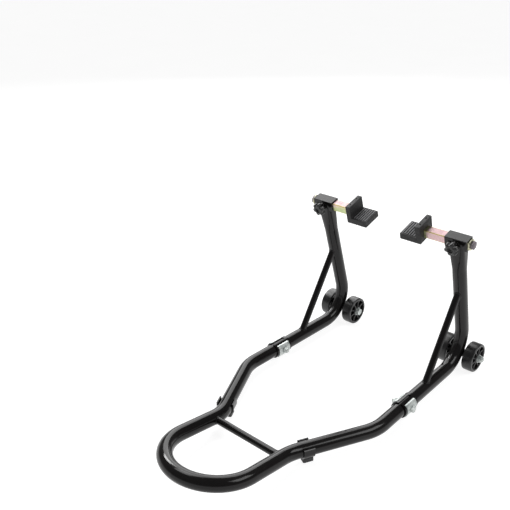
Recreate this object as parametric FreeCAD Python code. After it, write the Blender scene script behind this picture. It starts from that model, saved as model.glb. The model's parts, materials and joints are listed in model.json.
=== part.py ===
"""Rear paddock stand for a motorcycle, in millimetres.

+Z is up, +X is across the stand and -Y is towards the handle. The design is laid out with the wheel
axles at y = 0, and the finished pieces are moved so that the origin lies on the floor at the middle
of the bounding box. Each piece is drawn for the right-hand side and mirrored for the left.
"""
import FreeCAD, Part
import math
import os

Vector = FreeCAD.Vector

# Tubes of the frame
TUBE_R = 16.0
TUBE_WALL = 2.0
BRACE_R = 8.0
BRACE_WALL = 1.5

# Centre lines of the right half of the frame, as sharp corners
ELBOW = Vector(174.5, 17.0, 19.7)
HANDLE_BEND = Vector(181.8, -359.0, 24.0)
FOOT_BEND = Vector(95.3, -528.8, 24.8)
ELBOW_RADIUS = 68.0
HANDLE_BEND_RADIUS = 98.0
FOOT_BEND_RADIUS = 85.0
LEAN_DEG = 17.0                 # the uprights lean towards the handle
BRACE_FOOT_AT = 188.5           # along the rail, from the elbow corner
BRACE_HEAD_AT = 214.5           # along the upright, from the elbow corner

# Handle loop: two parallel legs and a round end, in a rising plane
LOOP_RISE = 0.158
LOOP_LENGTH = 205.8
CROSSBAR_AT = 24.2              # along the leg, from the foot bend

# Bolted joint: a slit sleeve welded to the side tube takes the end of the handle tube
JOINT_AT = 268.8                # along the rail, from the elbow corner
SLEEVE_START = 243.0
SLEEVE_END = 291.5
SLEEVE_WALL = 2.2
SIDE_TUBE_END = 251.0
HANDLE_TUBE_END = 252.0
SLIT_WIDTH = 7.0
SLIT_TURN = 5.0                 # degrees outwards from the top
LIP_LENGTH = 4.0                # thicker ring at the sleeve's open end
LIP_R = 18.9
SADDLE_LENGTH = 36.0
SADDLE_THICK = 2.2
SADDLE_HALF_ANGLE = 55.0
JOINT_BOLT_R = 4.0
JOINT_BOLT_AF = 13.0
JOINT_HEAD = 5.3
JOINT_NUT = 6.8
THREAD_PAST_NUT = 2.5
SEAT_GAP = 0.15                 # under heads on the slightly splayed rails

# Feet under the handle bends
FOOT_AT = 34.0                  # from the foot bend towards the handle bend
STRAP_LENGTH = 23.5
STRAP_THICK = 3.0
STRAP_RISE = 10.0
SOLE_HALF_WIDTH = 12.5
SOLE_LENGTH = 22.5
SOLE_CORNER_R = 3.0
SOLE_OVERLAP = 4.0              # how far the sole reaches up around the strap

# Wheels and axles
WHEEL_R = 35.0
WHEEL_WIDTH = 26.0
WHEEL_OFFSET = 34.0             # from the side tube to the middle of a wheel
RIM_INNER_R = 28.5
WEB_THICK = 5.0
HUB_R = 11.5
HUB_HALF = 12.5
RIB_COUNT = 8
RIB_THICK = 3.0
RIB_HALF_WIDTH = 10.0
TREAD_FILLET = 2.0
BUSH_R = 7.5
AXLE_R = 5.0
RUNNING_GAP = 0.06
SIDE_GAP = 0.5
AXLE_SLEEVE_R = 9.4
AXLE_SLEEVE_HALF = 20.5
AXLE_WASHER_R = 10.0
AXLE_WASHER_THICK = 2.0
AXLE_AF = 16.0
AXLE_HEAD = 6.4
AXLE_NUT = 8.4

# Heads of the uprights: square receivers, clamp knobs and sliding adapters
HEAD_X = 174.5
HEAD_AT = 343.5                 # along the upright, from the elbow corner to the receiver's middle
RECEIVER_LENGTH = 52.0
RECEIVER_SIDE = 25.4
RECEIVER_WALL = 2.85
RECEIVER_CORNER_R = 1.6
CRUSH_HALF_X = 18.7             # the upright's end is pressed to a rounded rectangle
CRUSH_HALF_Y = 14.8
CRUSH_CORNER_R = 9.0
CRUSH_LENGTH = 62.0
LIP_OVERLAP = 16.0              # how far its lips rise along the receiver's faces
BOSS_R = 9.0
BOSS_THICK = 8.0
STUD_R = 5.0
KNOB_BACK = 23.0
KNOB_THICK = 13.0
KNOB_CAP = 4.0                  # solid front of the knob
KNOB_HUB_R = 10.0
KNOB_LOBES = 6
KNOB_LOBE_R = 4.4
KNOB_LOBE_AT = 11.6
KNOB_LOBE_TURN = 30.0           # degrees from the receiver's long axis
KNOB_LOBE_SINK = 1.5            # how far the lobes stay behind the hub's faces
ADAPTER_SIDE = 19.05
ADAPTER_WALL = 2.0
ADAPTER_CORNER_R = 1.2
ADAPTER_PROUD = 3.0             # past the receiver's outer end
TIP_GAP = 0.35                  # at both ends of the stud
END_WASHER_R = 12.0
END_WASHER_THICK = 2.0
ADAPTER_BOLT_R = 5.0
ADAPTER_BOLT_AF = 17.0
ADAPTER_BOLT_HEAD = 6.5
ADAPTER_NUT_THICK = 5.0

# L-shaped rubber rests with a steel core
PAD_X0 = 45.0
PAD_X1 = 97.5
PAD_HALF_Y = 25.0
PAD_BOTTOM = -18.0
PAD_TOP = 25.8
PLATE_THICK = 12.4
SHELF_THICK = 14.6
PAD_RIB_HEIGHT = 1.2
PAD_RIB_WIDTH = 2.8
PAD_RIB_COUNT = 6
PAD_RIB_INSET = 3.0             # from the rest's ends
PAD_EDGE_FILLET = 1.0
PAD_PIT_R = 1.6
PAD_PIT_DEPTH = 6.0
PAD_PIT_AT = 12.0
CORE_THICK = 4.0
CORE_INSET = 5.0
SKIN = 2.5                      # rubber between the core and the outer face

UP_LINE = Vector(0, -math.sin(math.radians(LEAN_DEG)), math.cos(math.radians(LEAN_DEG)))
RAIL_LINE = (HANDLE_BEND - ELBOW).normalize()
HEAD = ELBOW + UP_LINE * HEAD_AT
SLEEVE_R = TUBE_R + SLEEVE_WALL
X_AXIS = Vector(1, 0, 0)
Y_AXIS = Vector(0, 1, 0)
Z_AXIS = Vector(0, 0, 1)
EXTRA = 1.0                     # how far a cutting tool runs past a face
HOLE_GAP = 0.2                  # around a bolt or nut that does not turn in its hole
WELD_GAP = 0.3                  # around a piece let into a cut edge
HEX_TRIM = 0.955                # where a hexagon's corners are rounded off
END_CHAMFER = 0.8               # on bolt ends and the boss
TOUCH = 0.01                    # how closely two places agree


def scaled(vector, factor):
    """A copy of a vector times a number."""
    return Vector(vector.x * factor, vector.y * factor, vector.z * factor)


def unit(vector):
    return scaled(vector, 1.0 / vector.Length)


def rail_point(distance):
    """A point on the rail's centre line, measured from the elbow corner."""
    return ELBOW + scaled(RAIL_LINE, distance)


def upright_point(distance):
    return ELBOW + scaled(UP_LINE, distance)


def rod(radius, start, end):
    """A round bar between two points."""
    line = end - start
    return Part.makeCylinder(radius, line.Length, start, line)


def hollow_rod(outer, inner, start, end):
    return rod(outer, start, end).cut(rod(inner, start, end))


def block(x0, x1, y0, y1, z0, z1):
    return Part.makeBox(x1 - x0, y1 - y0, z1 - z0, Vector(x0, y0, z0))


def hexagon(across_flats, thickness, start, direction):
    """A hexagonal prism standing on a point."""
    radius = across_flats / math.sqrt(3.0)
    angles = [math.radians(60.0 * i) for i in range(7)]
    corners = [Vector(radius * math.cos(angle), radius * math.sin(angle), 0) for angle in angles]
    prism = Part.Face(Part.makePolygon(corners)).extrude(Vector(0, 0, thickness))
    trim = Part.makeSphere(math.hypot(radius * HEX_TRIM, thickness), Vector(0, 0, 0))
    prism = prism.common(trim)
    prism.Placement = FreeCAD.Placement(start, FreeCAD.Rotation(Z_AXIS, direction))
    return prism


def bent_path(points, radii):
    """Straight runs joined by tangent arcs; radii are those of the inner points."""
    edges = []
    start = points[0]
    for i, radius in enumerate(radii):
        corner = points[i + 1]
        back = unit(points[i] - corner)
        onward = unit(points[i + 2] - corner)
        half = back.getAngle(onward) / 2.0
        reach = radius / math.tan(half)
        middle_line = unit(back + onward)
        centre = corner + scaled(middle_line, radius / math.sin(half))
        first = corner + scaled(back, reach)
        last = corner + scaled(onward, reach)
        edges.append(Part.LineSegment(start, first).toShape())
        edges.append(Part.Arc(first, centre - scaled(middle_line, radius), last).toShape())
        start = last
    edges.append(Part.LineSegment(start, points[-1]).toShape())
    return edges


def sweep(edges, radius, direction):
    """A round bar along joined edges that starts in the given direction."""
    start = edges[0].Vertexes[0].Point
    profile = Part.Wire(Part.makeCircle(radius, start, direction))
    return Part.Wire(edges).makePipeShell([profile], True, False)


def mirrored(shape):
    return shape.mirror(Vector(0, 0, 0), X_AXIS)


def on_head(shape):
    """Move a piece drawn around the receiver's middle onto the leaning upright."""
    moved = shape.copy()
    moved.Placement = FreeCAD.Placement(Vector(0, HEAD.y, HEAD.z), FreeCAD.Rotation(X_AXIS, LEAN_DEG))
    return moved


def joint_hole():
    """The cross hole for the joint bolt."""
    centre = rail_point(JOINT_AT)
    reach = scaled(X_AXIS, SLEEVE_R + SADDLE_THICK + EXTRA)
    return rod(JOINT_BOLT_R + HOLE_GAP, centre - reach, centre + reach)


def crush_outline(inset):
    """Corner-to-flat break points of the pressed end's outline, counter-clockwise."""
    a = CRUSH_HALF_X - inset
    b = CRUSH_HALF_Y - inset
    r = CRUSH_CORNER_R - inset
    points = []
    for sx, sy in ((1, 1), (-1, 1), (-1, -1), (1, -1)):
        pair = [(sx * a, sy * (b - r)), (sx * (a - r), sy * b)]
        points.extend(pair if sx * sy > 0 else pair[::-1])
    return points, r


def section_wires(inset):
    """A circle and a rounded rectangle, both in eight matching edges around the origin."""
    points, corner_r = crush_outline(inset)
    radius = TUBE_R - inset
    angles = [math.atan2(y, x) for x, y in points]
    round_edges = []
    flat_edges = []
    for i in range(8):
        j = (i + 1) % 8
        turn = (angles[j] - angles[i]) % (2 * math.pi)
        steps = (angles[i], angles[i] + turn / 2.0, angles[i] + turn)
        circle = [Vector(radius * math.cos(t), radius * math.sin(t), 0) for t in steps]
        round_edges.append(Part.Arc(*circle).toShape())
        first = Vector(points[i][0], points[i][1], 0)
        last = Vector(points[j][0], points[j][1], 0)
        if i % 2 == 0:
            centre = Vector(math.copysign(CRUSH_HALF_X - CRUSH_CORNER_R, first.x + last.x),
                            math.copysign(CRUSH_HALF_Y - CRUSH_CORNER_R, first.y + last.y), 0)
            middle = centre + scaled(unit((first + last) - scaled(centre, 2.0)), corner_r)
            flat_edges.append(Part.Arc(first, middle, last).toShape())
        else:
            flat_edges.append(Part.LineSegment(first, last).toShape())
    return Part.Wire(round_edges), Part.Wire(flat_edges)


def upright_end():
    """The upper end of the upright: round below, pressed flat under and beside the receiver."""
    under = HEAD_AT - RECEIVER_SIDE / 2.0
    lean = FreeCAD.Rotation(X_AXIS, LEAN_DEG)
    shells = []
    for inset in (0.0, TUBE_WALL):
        round_wire, flat_wire = section_wires(inset)
        wires = []
        for wire, distance in ((round_wire, under - CRUSH_LENGTH), (flat_wire, under),
                               (flat_wire, under + LIP_OVERLAP)):
            placed = wire.copy()
            placed.Placement = FreeCAD.Placement(upright_point(distance), lean)
            wires.append(placed)
        taper = Part.makeLoft(wires[:2], True, True)
        collar = Part.makeLoft(wires[1:], True, True)
        shells.append(taper.fuse(collar))
    end = shells[0].cut(shells[1])
    side = RECEIVER_SIDE / 2.0
    length = CRUSH_HALF_X + EXTRA
    notch = block(HEAD_X - length, HEAD_X + length, -side, side, -side, side)
    boss_room = rod(BOSS_R + WELD_GAP, Vector(HEAD_X, 0, 0), Vector(HEAD_X, -2 * side, 0))
    return end.cut(on_head(notch)).cut(on_head(boss_room))


def side_tube():
    """Rail, elbow and upright in one bent tube."""
    rail_end = rail_point(SIDE_TUBE_END)
    top = upright_point(HEAD_AT - RECEIVER_SIDE / 2.0 - CRUSH_LENGTH)
    edges = bent_path([rail_end, ELBOW, top], [ELBOW_RADIUS])
    direction = scaled(RAIL_LINE, -1.0)
    tube = sweep(edges, TUBE_R, direction).cut(sweep(edges, TUBE_R - TUBE_WALL, direction))
    return tube.fuse(upright_end()).removeSplitter()


def on_rail(shape, distance):
    """Move a piece drawn around the origin, with -Y along the rail, onto the rail."""
    moved = shape.copy()
    turn = FreeCAD.Rotation(Y_AXIS, scaled(RAIL_LINE, -1.0))
    moved.Placement = FreeCAD.Placement(rail_point(distance), turn)
    return moved


def joint_sleeve():
    """Outer sleeve with a thicker lip, slit along its top where the bolt closes it."""
    length = SLEEVE_END - SLEEVE_START
    body = rod(SLEEVE_R, Vector(0, 0, 0), Vector(0, -length, 0))
    lip = rod(LIP_R, Vector(0, LIP_LENGTH - length, 0), Vector(0, -length, 0))
    sleeve = body.fuse(lip).cut(rod(TUBE_R, Vector(0, 0, 0), Vector(0, -length, 0)))
    half = SLIT_WIDTH / 2.0
    slit = block(-half, half, -length, SLEEVE_START - SIDE_TUBE_END, 0, LIP_R + EXTRA)
    slit.rotate(Vector(0, 0, 0), Y_AXIS, SLIT_TURN)
    return on_rail(sleeve.cut(slit), SLEEVE_START).cut(joint_hole()).removeSplitter()


def side_tube_envelope():
    """The side tube without its bore, used to shape what is welded to it."""
    top = upright_point(HEAD_AT - RECEIVER_SIDE / 2.0)
    edges = bent_path([rail_point(JOINT_AT), ELBOW, top], [ELBOW_RADIUS])
    return sweep(edges, TUBE_R, scaled(RAIL_LINE, -1.0))


def loop_line():
    """Direction of the loop's legs."""
    return unit(Vector(0, -1, LOOP_RISE))


def loop_arc():
    """Right half of the loop's round end, tangent to the leg and centred across the stand."""
    radius = FOOT_BEND.x
    centre = Vector(0, FOOT_BEND.y, FOOT_BEND.z) + scaled(loop_line(), LOOP_LENGTH - radius)
    points = []
    for degrees in (0.0, 45.0, 90.0):
        angle = math.radians(degrees)
        ray = scaled(X_AXIS, math.cos(angle)) + scaled(loop_line(), math.sin(angle))
        points.append(centre + scaled(ray, radius))
    return points


def handle_half(radius):
    """A round bar along the right half of the handle: rail end, two bends and loop."""
    arc = loop_arc()
    corners = [rail_point(HANDLE_TUBE_END), HANDLE_BEND, FOOT_BEND, arc[0]]
    edges = bent_path(corners, [HANDLE_BEND_RADIUS, FOOT_BEND_RADIUS])
    edges.append(Part.Arc(*arc).toShape())
    return sweep(edges, radius, RAIL_LINE)


def handle_tube():
    """One bent tube from joint to joint."""
    half = handle_half(TUBE_R).cut(handle_half(TUBE_R - TUBE_WALL)).cut(joint_hole())
    return half.fuse(mirrored(half)).removeSplitter()


def handle_crossbar():
    """Thin tube across the legs of the loop."""
    end = FOOT_BEND + scaled(loop_line(), CROSSBAR_AT)
    bar = hollow_rod(BRACE_R, BRACE_R - BRACE_WALL, Vector(-end.x, end.y, end.z), end)
    leg = handle_half(TUBE_R)
    return bar.cut(leg).cut(mirrored(leg))


def brace():
    foot = rail_point(BRACE_FOOT_AT)
    head = upright_point(BRACE_HEAD_AT)
    return hollow_rod(BRACE_R, BRACE_R - BRACE_WALL, foot, head).cut(side_tube_envelope())


def receiver():
    """Square tube across the top of the upright, open at both ends, with the stud's hole."""
    x0 = HEAD_X - RECEIVER_LENGTH / 2.0
    x1 = HEAD_X + RECEIVER_LENGTH / 2.0
    side = RECEIVER_SIDE / 2.0
    outer = block(x0, x1, -side, side, -side, side)
    long_edges = [e for e in outer.Edges if abs(e.Length - RECEIVER_LENGTH) < TOUCH]
    outer = outer.makeFillet(RECEIVER_CORNER_R, long_edges)
    bore = side - RECEIVER_WALL
    tube = outer.cut(block(x0, x1, -bore, bore, -bore, bore))
    outside = Vector(HEAD_X, -side - EXTRA, 0)
    inside = Vector(HEAD_X, -bore + EXTRA, 0)
    return on_head(tube.cut(rod(STUD_R + RUNNING_GAP, outside, inside)))


def knob_boss():
    """Round threaded boss welded to the receiver's front face."""
    face = -RECEIVER_SIDE / 2.0
    start = Vector(HEAD_X, face, 0)
    end = Vector(HEAD_X, face - BOSS_THICK, 0)
    ring = rod(BOSS_R, start, end)
    rim = [e for e in ring.Edges if abs(e.CenterOfMass.y - end.y) < TOUCH and e.Length > BOSS_R]
    return on_head(ring.makeChamfer(END_CHAMFER, rim).cut(rod(STUD_R + RUNNING_GAP, start, end)))


def knob_stud():
    tip = Vector(HEAD_X, -ADAPTER_SIDE / 2.0 - TIP_GAP, 0)
    root = Vector(HEAD_X, -KNOB_BACK - KNOB_THICK + KNOB_CAP + TIP_GAP, 0)
    stud = rod(STUD_R, tip, root)
    point = [e for e in stud.Edges if abs(e.CenterOfMass.y - tip.y) < TOUCH]
    return on_head(stud.makeChamfer(END_CHAMFER, point))


def knob():
    """Star knob: a domed hub with round lobes."""
    back = Vector(HEAD_X, -KNOB_BACK, 0)
    front = Vector(HEAD_X, -KNOB_BACK - KNOB_THICK, 0)
    star = rod(KNOB_HUB_R, back, front)
    for i in range(KNOB_LOBES):
        angle = math.radians(360.0 / KNOB_LOBES * i + KNOB_LOBE_TURN)
        shift = Vector(KNOB_LOBE_AT * math.cos(angle), 0, KNOB_LOBE_AT * math.sin(angle))
        sink = Vector(0, KNOB_LOBE_SINK, 0)
        star = star.fuse(rod(KNOB_LOBE_R, back + shift - sink, front + shift + sink))
    star = star.removeSplitter()
    return on_head(star.cut(rod(STUD_R + RUNNING_GAP, back, Vector(HEAD_X, front.y + KNOB_CAP, 0))))


def adapter_tube():
    """Square inner tube that slides in the receiver and carries the rubber rest."""
    inner_end = PAD_X1 - SKIN
    outer_end = HEAD_X + RECEIVER_LENGTH / 2.0 + ADAPTER_PROUD
    side = ADAPTER_SIDE / 2.0
    tube = block(inner_end, outer_end, -side, side, -side, side)
    long_edges = [e for e in tube.Edges if abs(e.Length - (outer_end - inner_end)) < TOUCH]
    tube = tube.makeFillet(ADAPTER_CORNER_R, long_edges)
    bore = side - ADAPTER_WALL
    return on_head(tube.cut(block(inner_end, outer_end, -bore, bore, -bore, bore)))


def adapter_washer():
    start = Vector(HEAD_X + RECEIVER_LENGTH / 2.0 + ADAPTER_PROUD, 0, 0)
    end = start + Vector(END_WASHER_THICK, 0, 0)
    return on_head(hollow_rod(END_WASHER_R, ADAPTER_BOLT_R + HOLE_GAP, start, end))


def core_edges():
    """X range of the upright leg of the steel core, and Z range of its flat leg."""
    leg_x1 = PAD_X1 - SKIN
    flat_z0 = PAD_BOTTOM + (SHELF_THICK - CORE_THICK) / 2.0
    return leg_x1 - CORE_THICK, leg_x1, flat_z0, flat_z0 + CORE_THICK


def adapter_bolt():
    """Long bolt through the adapter that draws the rest onto the tube's end."""
    seat = HEAD_X + RECEIVER_LENGTH / 2.0 + ADAPTER_PROUD + END_WASHER_THICK
    leg_x0 = core_edges()[0]
    shank = rod(ADAPTER_BOLT_R, Vector(leg_x0 - ADAPTER_NUT_THICK, 0, 0), Vector(seat, 0, 0))
    head = hexagon(ADAPTER_BOLT_AF, ADAPTER_BOLT_HEAD, Vector(seat, 0, 0), X_AXIS)
    return on_head(shank.fuse(head).removeSplitter())


def adapter_nut():
    leg_x0 = core_edges()[0]
    nut = hexagon(ADAPTER_BOLT_AF, ADAPTER_NUT_THICK, Vector(leg_x0, 0, 0), scaled(X_AXIS, -1.0))
    return on_head(nut.cut(rod(ADAPTER_BOLT_R, Vector(leg_x0 + EXTRA, 0, 0), Vector(PAD_X0, 0, 0))))


def nut_pocket():
    """The room that the adapter's nut needs behind the core's upright leg."""
    leg_x0 = core_edges()[0]
    radius = ADAPTER_BOLT_AF / math.sqrt(3.0) + HOLE_GAP
    return rod(radius, Vector(leg_x0 - ADAPTER_NUT_THICK - HOLE_GAP, 0, 0), Vector(leg_x0, 0, 0))


def pad_core():
    """Steel angle inside the rubber, with the bolt's hole and room for its nut."""
    leg_x0, leg_x1, flat_z0, flat_z1 = core_edges()
    half = PAD_HALF_Y - CORE_INSET
    leg = block(leg_x0, leg_x1, -half, half, flat_z0, PAD_TOP - CORE_INSET)
    flat = block(PAD_X0 + CORE_INSET, leg_x1, -half, half, flat_z0, flat_z1)
    hole = rod(ADAPTER_BOLT_R + HOLE_GAP, Vector(leg_x0 - EXTRA, 0, 0), Vector(leg_x1 + EXTRA, 0, 0))
    return on_head(leg.fuse(flat).removeSplitter().cut(hole).cut(nut_pocket()))


def pad():
    """L-shaped rubber rest with a ribbed shelf and two pits in its top edge."""
    shelf_top = PAD_BOTTOM + SHELF_THICK
    plate_x0 = PAD_X1 - PLATE_THICK
    outline = [(PAD_X0, PAD_BOTTOM), (PAD_X1, PAD_BOTTOM), (PAD_X1, PAD_TOP), (plate_x0, PAD_TOP),
               (plate_x0, shelf_top), (PAD_X0, shelf_top), (PAD_X0, PAD_BOTTOM)]
    wire = Part.makePolygon([Vector(x, -PAD_HALF_Y, z) for x, z in outline])
    body = Part.Face(wire).extrude(Vector(0, 2 * PAD_HALF_Y, 0))
    inner_corner = (plate_x0, shelf_top)
    edges = [e for e in body.Edges if not is_at(e, inner_corner)]
    body = body.makeFillet(PAD_EDGE_FILLET, edges)
    first = PAD_X0 + PAD_RIB_WIDTH + PAD_EDGE_FILLET
    pitch = (plate_x0 - PAD_X0 - 2 * PAD_RIB_WIDTH) / PAD_RIB_COUNT
    half = PAD_HALF_Y - PAD_RIB_INSET
    for i in range(PAD_RIB_COUNT):
        x = first + i * pitch
        rib = block(x, x + PAD_RIB_WIDTH, -half, half, shelf_top - EXTRA, shelf_top + PAD_RIB_HEIGHT)
        body = body.fuse(rib)
    for y in (-PAD_PIT_AT, PAD_PIT_AT):
        mouth = Vector((plate_x0 + PAD_X1) / 2.0, y, PAD_TOP)
        body = body.cut(rod(PAD_PIT_R, mouth + Z_AXIS, mouth - scaled(Z_AXIS, PAD_PIT_DEPTH)))
    leg_x0, leg_x1, flat_z0, flat_z1 = core_edges()
    half = PAD_HALF_Y - CORE_INSET
    body = body.cut(block(leg_x0, leg_x1, -half, half, flat_z0, PAD_TOP - CORE_INSET))
    body = body.cut(block(PAD_X0 + CORE_INSET, leg_x1, -half, half, flat_z0, flat_z1))
    socket = ADAPTER_SIDE / 2.0
    body = body.cut(block(leg_x1, PAD_X1 + EXTRA, -socket, socket, -socket, socket))
    return on_head(body.cut(nut_pocket()).removeSplitter())


def is_at(edge, corner):
    """Whether an edge runs along Y at the given X and Z."""
    middle = edge.CenterOfMass
    return abs(middle.x - corner[0]) < TOUCH and abs(middle.z - corner[1]) < TOUCH


def axle_centre():
    return Vector(ELBOW.x, 0, WHEEL_R)


def axle_sleeve():
    """Bush tube welded behind the elbow, shaped to the bend."""
    centre = axle_centre()
    reach = scaled(X_AXIS, AXLE_SLEEVE_HALF)
    sleeve = rod(AXLE_SLEEVE_R, centre - reach, centre + reach).cut(side_tube_envelope())
    return sleeve.cut(rod(AXLE_R + RUNNING_GAP, centre - reach, centre + reach))


def axle_seat():
    """Distance from the side tube's middle to the washer's inner face."""
    return WHEEL_OFFSET + HUB_HALF + SIDE_GAP


def axle_washers():
    centre = axle_centre()
    near = axle_seat()
    far = near + AXLE_WASHER_THICK
    rings = []
    for sign in (-1, 1):
        start = centre + scaled(X_AXIS, sign * near)
        end = centre + scaled(X_AXIS, sign * far)
        rings.append(hollow_rod(AXLE_WASHER_R, AXLE_R + HOLE_GAP, start, end))
    return Part.makeCompound(rings)


def axle_bolt():
    """Axle bolt with its head on the inner side of the stand."""
    centre = axle_centre()
    seat = axle_seat() + AXLE_WASHER_THICK
    tip = centre + scaled(X_AXIS, seat + AXLE_NUT + THREAD_PAST_NUT)
    shank = rod(AXLE_R, centre - scaled(X_AXIS, seat), tip)
    head = hexagon(AXLE_AF, AXLE_HEAD, centre - scaled(X_AXIS, seat), scaled(X_AXIS, -1.0))
    end = [e for e in shank.Edges if abs(e.CenterOfMass.x - tip.x) < TOUCH]
    return shank.makeChamfer(END_CHAMFER, end).fuse(head).removeSplitter()


def axle_nut():
    start = axle_centre() + scaled(X_AXIS, axle_seat() + AXLE_WASHER_THICK)
    nut = hexagon(AXLE_AF, AXLE_NUT, start, X_AXIS)
    return nut.cut(rod(AXLE_R, start - X_AXIS, start + scaled(X_AXIS, AXLE_NUT + EXTRA)))


def disc(radius, half_width):
    """A round bar along X, centred on the origin."""
    return rod(radius, Vector(-half_width, 0, 0), Vector(half_width, 0, 0))


def wheel(offset):
    """Moulded wheel: tread ring, thin web, hub and ribs on both faces."""
    centre = axle_centre() + scaled(X_AXIS, offset)
    half = WHEEL_WIDTH / 2.0
    tread = disc(WHEEL_R, half)
    rims = [e for e in tread.Edges if e.Length > WHEEL_R * 4]
    tread = tread.makeFillet(TREAD_FILLET, rims).cut(disc(RIM_INNER_R, half))
    body = tread.fuse(disc(RIM_INNER_R + EXTRA, WEB_THICK / 2.0)).fuse(disc(HUB_R, HUB_HALF))
    for i in range(RIB_COUNT):
        rib = block(-RIB_HALF_WIDTH, RIB_HALF_WIDTH, -RIB_THICK / 2.0, RIB_THICK / 2.0,
                    HUB_R - EXTRA, RIM_INNER_R + EXTRA)
        rib.rotate(Vector(0, 0, 0), X_AXIS, 360.0 / RIB_COUNT * i)
        body = body.fuse(rib)
    body = body.cut(disc(BUSH_R, half)).removeSplitter()
    body.translate(centre)
    return body


def wheel_bush(offset):
    """Steel bush pressed into the hub, running on the axle bolt."""
    centre = axle_centre() + scaled(X_AXIS, offset)
    reach = scaled(X_AXIS, HUB_HALF)
    return hollow_rod(BUSH_R, AXLE_R + RUNNING_GAP, centre - reach, centre + reach)


def joint_saddles():
    """Two curved washers that hug the sleeve under the bolt's head and nut."""
    half = SADDLE_LENGTH / 2.0
    outer = SLEEVE_R + SADDLE_THICK
    ring = hollow_rod(outer, SLEEVE_R, Vector(0, -half, 0), Vector(0, half, 0))
    height = SLEEVE_R * math.sin(math.radians(SADDLE_HALF_ANGLE))
    saddles = []
    for x0, x1 in ((-2 * outer, 0), (0, 2 * outer)):
        saddle = ring.common(block(x0, x1, -half, half, -height, height))
        saddles.append(on_rail(saddle, JOINT_AT).cut(joint_hole()))
    return Part.makeCompound(saddles)


def joint_seat():
    """Distance from the rail's middle to the bolt's seats."""
    return SLEEVE_R + SADDLE_THICK + SEAT_GAP


def joint_bolt():
    """Bolt across the joint, its head on the outer side."""
    centre = rail_point(JOINT_AT)
    outer = centre + scaled(X_AXIS, joint_seat())
    tip = centre - scaled(X_AXIS, joint_seat() + JOINT_NUT + THREAD_PAST_NUT)
    head = hexagon(JOINT_BOLT_AF, JOINT_HEAD, outer, X_AXIS)
    return rod(JOINT_BOLT_R, tip, outer).fuse(head).removeSplitter()


def joint_nut():
    seat = rail_point(JOINT_AT) - scaled(X_AXIS, joint_seat())
    nut = hexagon(JOINT_BOLT_AF, JOINT_NUT, seat, scaled(X_AXIS, -1.0))
    return nut.cut(rod(JOINT_BOLT_R, seat + X_AXIS, seat - scaled(X_AXIS, JOINT_NUT + EXTRA)))


def foot_centre():
    """The middle of the handle tube above the foot."""
    return FOOT_BEND + scaled(unit(HANDLE_BEND - FOOT_BEND), FOOT_AT)


def on_foot(shape):
    """Move a piece drawn around the origin, with Y along the tube, level under the tube."""
    line = HANDLE_BEND - FOOT_BEND
    moved = shape.copy()
    turn = FreeCAD.Rotation(Y_AXIS, Vector(line.x, line.y, 0))
    moved.Placement = FreeCAD.Placement(foot_centre(), turn)
    return moved


def foot_strap():
    """U-shaped steel strap under the handle tube, its legs rising past the tube's middle."""
    half = STRAP_LENGTH / 2.0
    outer = TUBE_R + STRAP_THICK
    strap = rod(outer, Vector(0, -half, 0), Vector(0, half, 0))
    strap = strap.common(block(-outer, outer, -half, half, -outer, 0))
    strap = strap.fuse(block(-outer, outer, -half, half, 0, STRAP_RISE)).removeSplitter()
    strap = strap.cut(block(-TUBE_R, TUBE_R, -half, half, 0, STRAP_RISE))
    return on_foot(strap).cut(handle_half(TUBE_R)).removeSplitter()


def foot_sole():
    """Rubber block under the strap, flat on the floor."""
    half = SOLE_LENGTH / 2.0
    outer = TUBE_R + STRAP_THICK
    floor = -foot_centre().z
    sole = block(-SOLE_HALF_WIDTH, SOLE_HALF_WIDTH, -half, half, floor, SOLE_OVERLAP - outer)
    upright = [e for e in sole.Edges if abs(e.Vertexes[0].Z - e.Vertexes[1].Z) > 1.0]
    sole = sole.makeFillet(SOLE_CORNER_R, upright)
    return on_foot(sole.cut(rod(outer, Vector(0, -half, 0), Vector(0, half, 0))))


def lowest_y():
    """The Y of the loop's outermost point."""
    return FOOT_BEND.y + LOOP_LENGTH * loop_line().y - TUBE_R


def build_parts():
    """All pieces by name, in the axle frame."""
    right = {
        "side_tube": side_tube(), "brace": brace(), "receiver": receiver(), "knob_boss": knob_boss(),
        "axle_sleeve": axle_sleeve(), "foot_strap": foot_strap(), "foot_sole": foot_sole(),
        "joint_sleeve": joint_sleeve(), "joint_saddles": joint_saddles(),
        "joint_bolt": joint_bolt(), "joint_nut": joint_nut(),
        "axle_bolt": axle_bolt(), "axle_nut": axle_nut(), "axle_washers": axle_washers(),
        "outer_wheel": wheel(WHEEL_OFFSET), "inner_wheel": wheel(-WHEEL_OFFSET),
        "outer_wheel_bush": wheel_bush(WHEEL_OFFSET), "inner_wheel_bush": wheel_bush(-WHEEL_OFFSET),
        "adapter_tube": adapter_tube(), "adapter_bolt": adapter_bolt(), "adapter_nut": adapter_nut(),
        "adapter_washer": adapter_washer(), "pad_core": pad_core(), "pad": pad(),
        "knob": knob(), "knob_stud": knob_stud(),
    }
    pieces = {"handle_tube": handle_tube(), "handle_crossbar": handle_crossbar()}
    for name, shape in right.items():
        pieces["right_" + name] = shape
        pieces["left_" + name] = mirrored(shape)
    return pieces


def main():
    os.makedirs("parts", exist_ok=True)
    shift = Vector(0, -(lowest_y() + WHEEL_R) / 2.0, 0)
    print("axles at y =", round(shift.y, 3))
    for name, shape in build_parts().items():
        shape.translate(shift)
        shape.exportStep("parts/" + name + ".step")
        print(name, "valid" if shape.isValid() else "INVALID", len(shape.Solids), "solid(s)",
              round(shape.Volume / 1000.0, 2), "cm3")


main()
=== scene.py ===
"""Looks of a rear paddock stand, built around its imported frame.

Metres, +Z up, +Y from the handle loop to the wheels, +X to the right-hand side. Every mesh is made
in place in that frame, with its object at the origin.
"""
import json
import math
import random

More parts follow.
